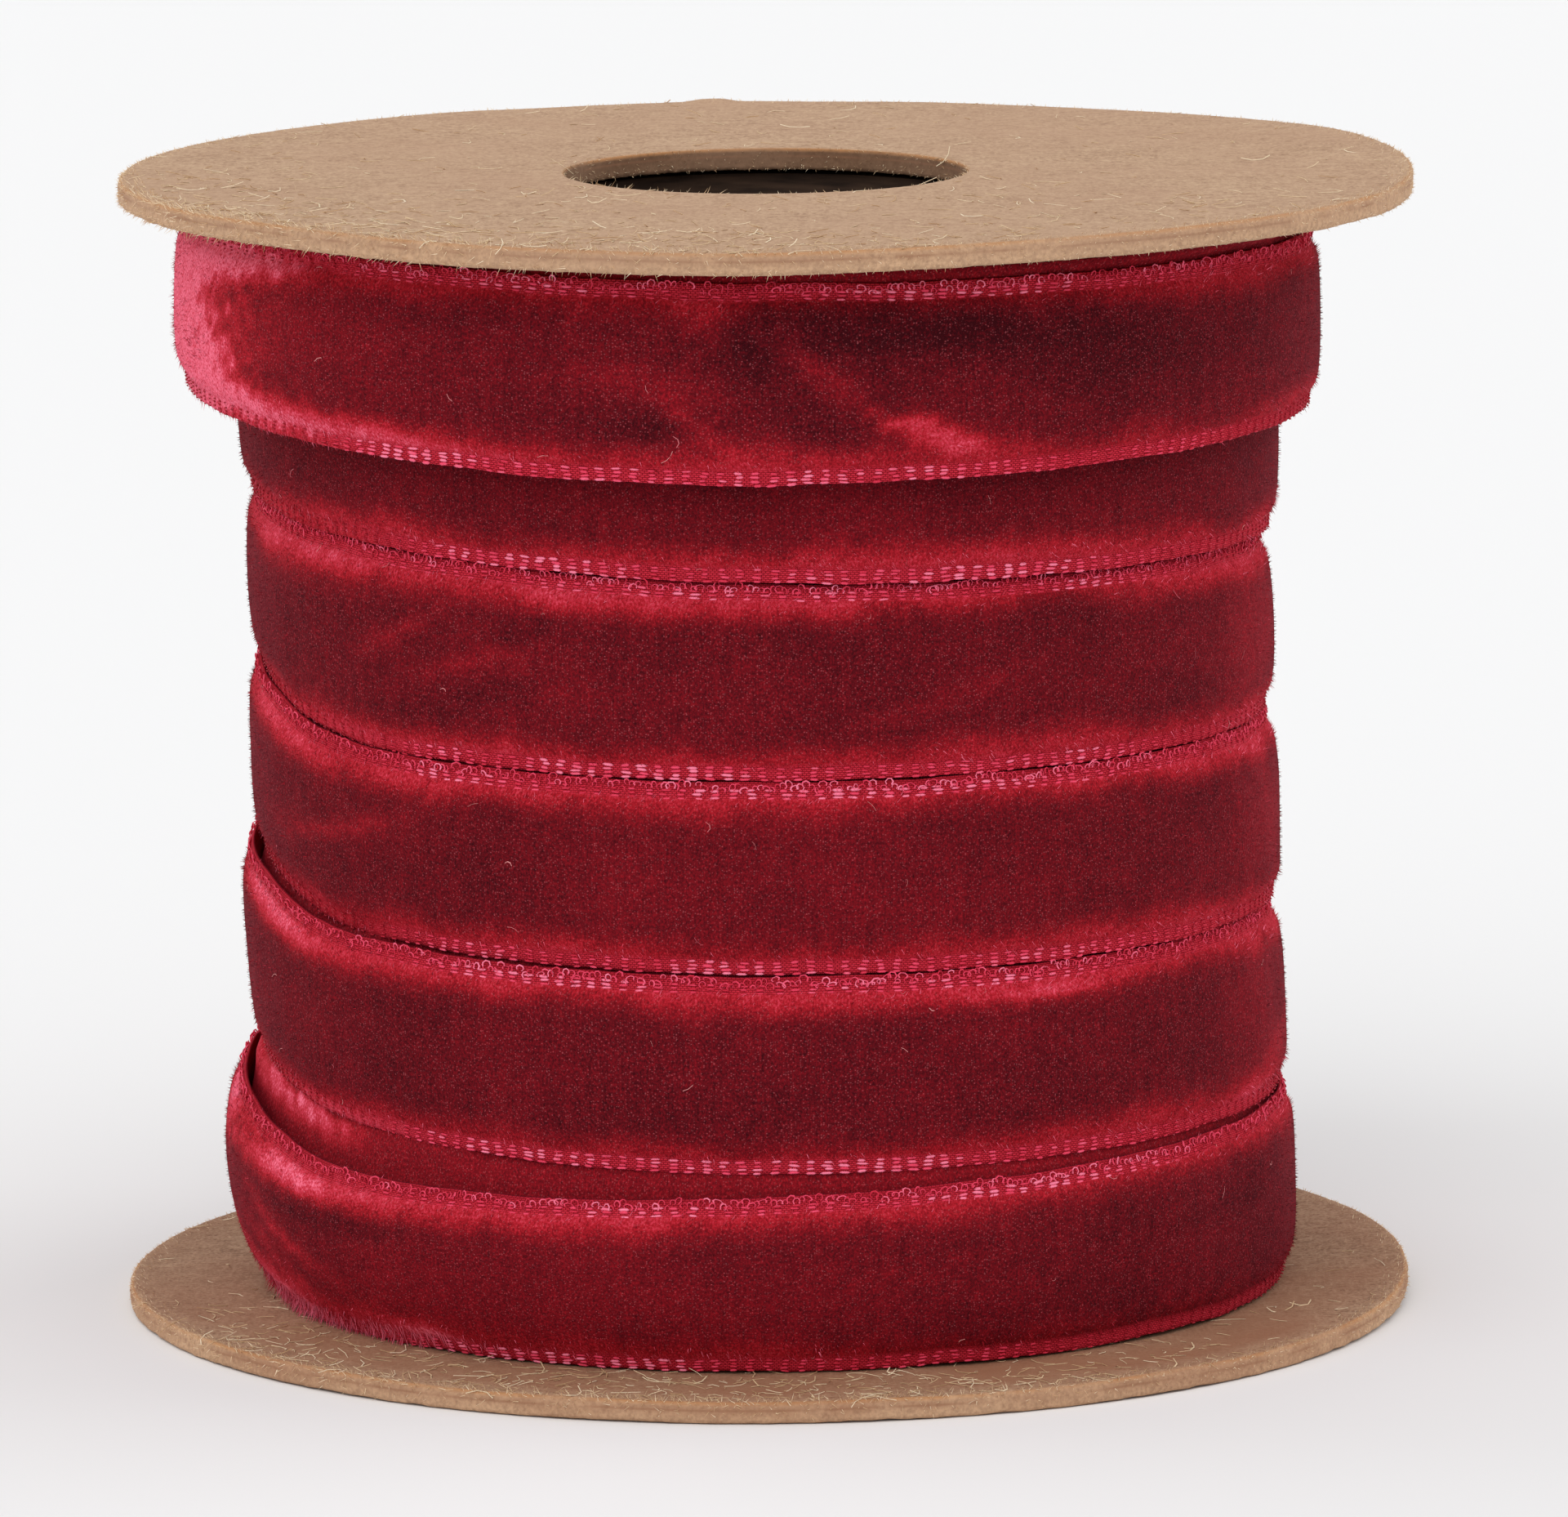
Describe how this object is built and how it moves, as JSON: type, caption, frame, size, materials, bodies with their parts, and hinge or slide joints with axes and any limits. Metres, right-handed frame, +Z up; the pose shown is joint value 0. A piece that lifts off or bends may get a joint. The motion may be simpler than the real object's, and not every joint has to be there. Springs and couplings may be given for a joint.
{
  "type": "roll of gift ribbon",
  "caption": "Narrow velvet ribbon wound in close slanting turns on a board spool with two round discs and a round centre hole.",
  "frame": {"origin": "middle of the lower disc's foot, on the surface the spool stands on", "axes": "+Z up along the spool's hole, -Y towards the viewer of the picture, +X to the right"},
  "size_m": [0.0642, 0.064, 0.0568],
  "materials": {
    "disc_board": "matte uncoated kraft board",
    "core_board": "matte grey-brown board",
    "velvet": "short cut pile with a soft sheen"
  },
  "bodies": {
    "root": {"disc_lower": "disc_board", "disc_upper": "disc_board", "core": "core_board", "ribbon": "velvet"}
  },
  "joints": []
}
